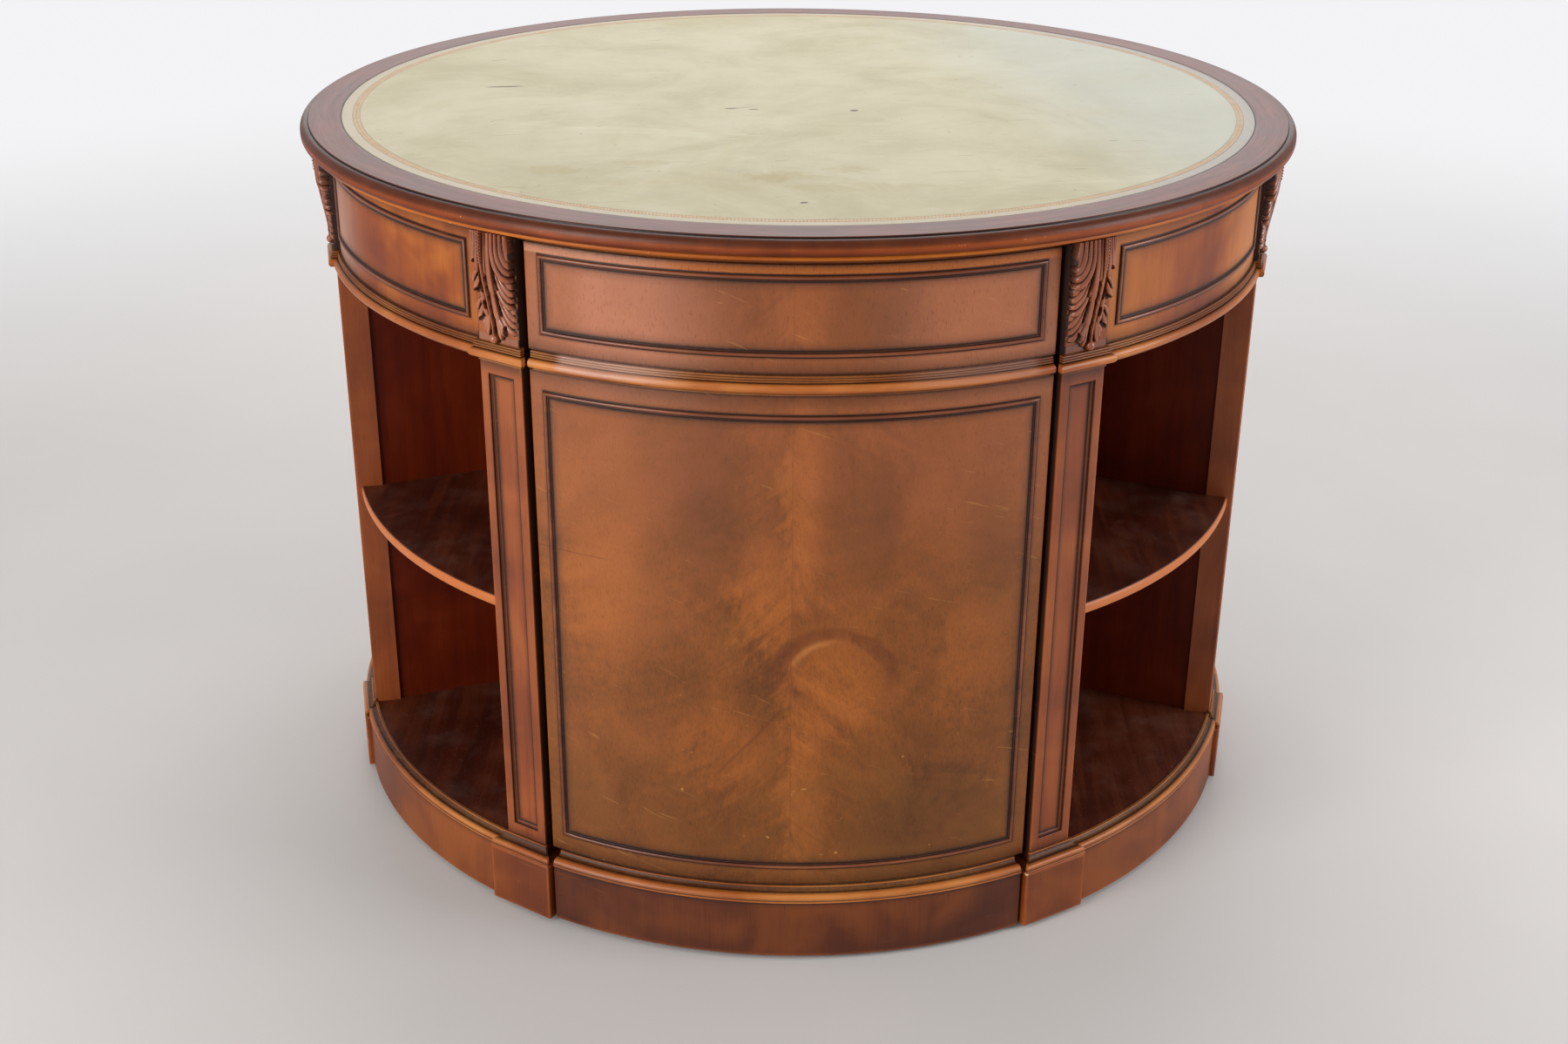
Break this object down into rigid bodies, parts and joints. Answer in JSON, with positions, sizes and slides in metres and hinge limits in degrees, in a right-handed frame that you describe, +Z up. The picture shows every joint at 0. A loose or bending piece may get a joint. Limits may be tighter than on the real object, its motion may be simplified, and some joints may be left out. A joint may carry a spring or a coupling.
{
  "type": "captains desk",
  "caption": "Round drum desk with a leather-lined top on carved pilasters, open bookcase bays all round, and a pull-out captain's chair whose curved back closes the front.",
  "frame": {"origin": "centre of the round footprint, on the floor", "axes": "+Z up, -Y towards the front, the way the chair rolls out, +X to the right of someone facing +Y"},
  "size_m": [1.07, 1.0699, 0.768],
  "materials": {
    "desk_leather": "pale sage hide with a tooled tan border, worn satin",
    "seat_leather": "dark sage hide over foam, satin",
    "glide": "pale nylon",
    "rim_wood": "dark grey-brown polished mahogany, satin",
    "carved_wood": "carved and antiqued mahogany, dark in the flutes",
    "moulding_wood": "polished red-brown mahogany",
    "frieze_veneer": "honey-brown veneer, polished",
    "flame_veneer": "book-matched flame mahogany veneer, polished",
    "carcase_wood": "dark red-brown mahogany, satin",
    "chair_wood": "dark red-brown mahogany, satin",
    "post_wood": "antiqued red-brown mahogany, polished"
  },
  "bodies": {
    "desk": {"top_board": "moulding_wood", "top_rim": "rim_wood", "top_leather": "desk_leather", "post_front_right": "post_wood", "post_side_right": "post_wood", "post_back_right": "post_wood", "post_rear_right": "post_wood", "post_rear_left": "post_wood", "post_back_left": "post_wood", "post_side_left": "post_wood", "post_front_left": "post_wood", "post_capitals": "moulding_wood", "post_bases": "moulding_wood", "plinth_blocks": "post_wood", "acanthus_leaves": "carved_wood", "frieze_left": "frieze_veneer", "frieze_right": "frieze_veneer", "rear_friezes": "frieze_veneer", "frieze_beads": "moulding_wood", "waist_mouldings": "moulding_wood", "plinth_rails": "post_wood", "plinth_mouldings": "moulding_wood", "shelf_left": "carcase_wood", "shelf_right": "carcase_wood", "rear_shelves": "carcase_wood", "bottom_board": "carcase_wood", "partition_left": "carcase_wood", "partition_right": "carcase_wood", "rear_partitions": "carcase_wood", "kneehole_side_left": "carcase_wood", "kneehole_side_right": "carcase_wood", "kneehole_back": "carcase_wood", "back_panels": "carcase_wood", "glides": "glide"},
    "chair": {"chair_back_panel": "flame_veneer", "chair_frieze": "flame_veneer", "chair_beads": "moulding_wood", "chair_mouldings": "moulding_wood", "chair_plinth_rail": "chair_wood", "chair_seat_rails": "chair_wood", "chair_seat_board": "chair_wood", "chair_seat_cushion": "seat_leather", "chair_back_cushion": "seat_leather", "chair_arm_left": "chair_wood", "chair_arm_right": "chair_wood", "chair_arm_supports": "chair_wood", "chair_front_legs": "chair_wood", "chair_rear_legs": "chair_wood", "chair_glides": "glide"}
  },
  "joints": [
    {"name": "chair_slide", "type": "slide", "parent": "desk", "child": "chair", "axis": [0, -1, 0], "range_m": [0, 0.6]}
  ]
}
